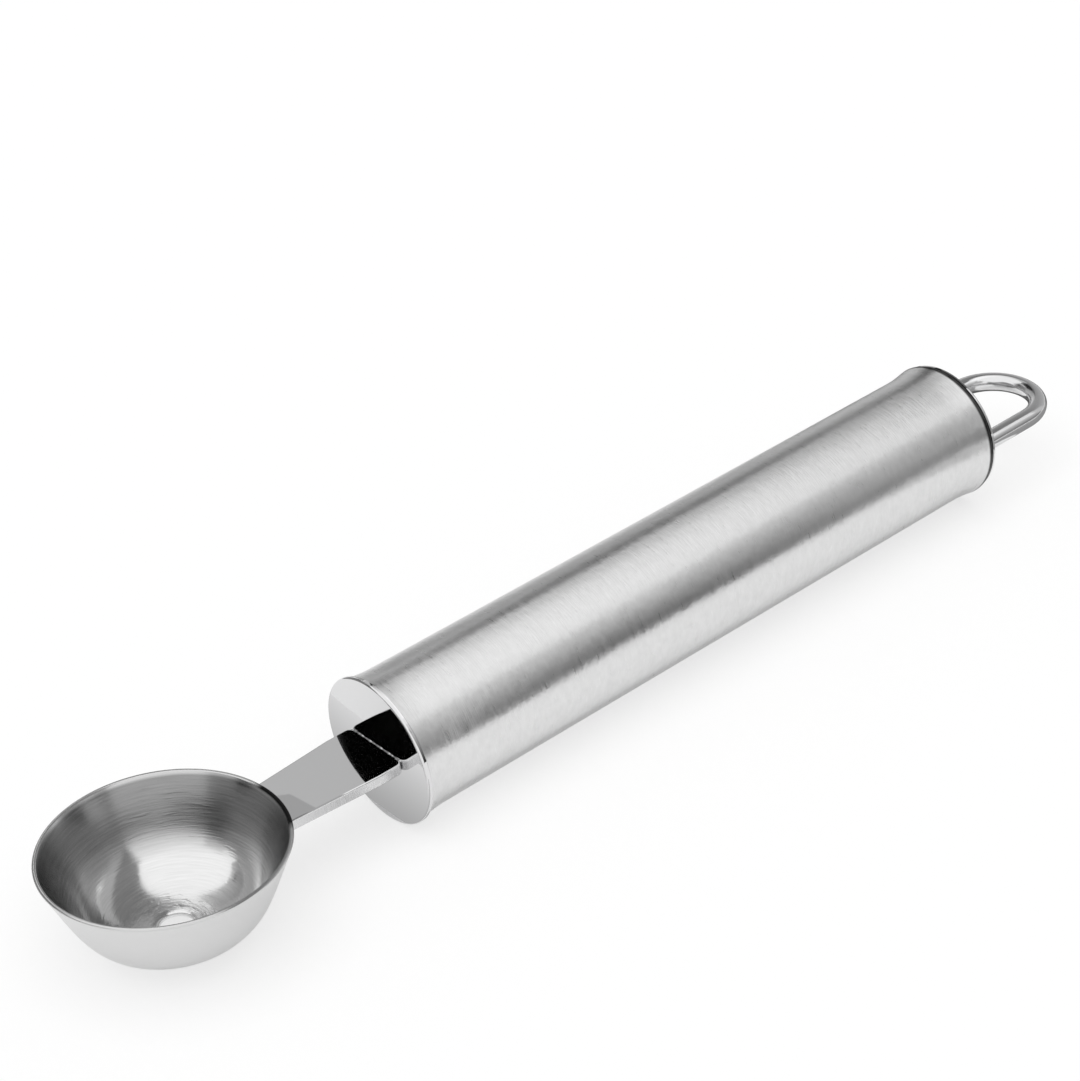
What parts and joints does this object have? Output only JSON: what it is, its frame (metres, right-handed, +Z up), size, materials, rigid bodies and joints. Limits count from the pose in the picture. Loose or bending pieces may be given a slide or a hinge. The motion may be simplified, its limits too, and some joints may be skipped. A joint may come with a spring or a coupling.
{
  "type": "melon baller",
  "caption": "Melon baller: a round scoop with a drain hole on a flat shank, a capped tubular handle and a wire hanging loop, all in stainless steel.",
  "frame": {"origin": "middle of the tool's footprint, on the table it lies on: the front cap's rim touches the table at z = 0", "axes": "+X along the handle, from the scoop towards the hanging loop; +Y across, to the left of someone looking along +X; +Z up, the way the scoop's mouth faces"},
  "size_m": [0.1679, 0.0308, 0.0203],
  "materials": {
    "scoop_bowl": "polished stainless steel, with faint lines from spinning and polishing",
    "shank": "mirror-polished stainless steel",
    "handle_tube": "satin stainless steel, brushed round the handle",
    "cap": "mirror-polished stainless steel",
    "loop_wire": "polished stainless steel wire",
    "weld": "weld metal, lightly dressed"
  },
  "bodies": {
    "root": {"scoop_bowl": "scoop_bowl", "shank": "shank", "scoop_weld": "weld", "front_cap": "cap", "shank_weld": "weld", "handle_tube": "handle_tube", "rear_cap": "cap", "hanging_loop": "loop_wire", "loop_welds": "weld"}
  },
  "joints": []
}
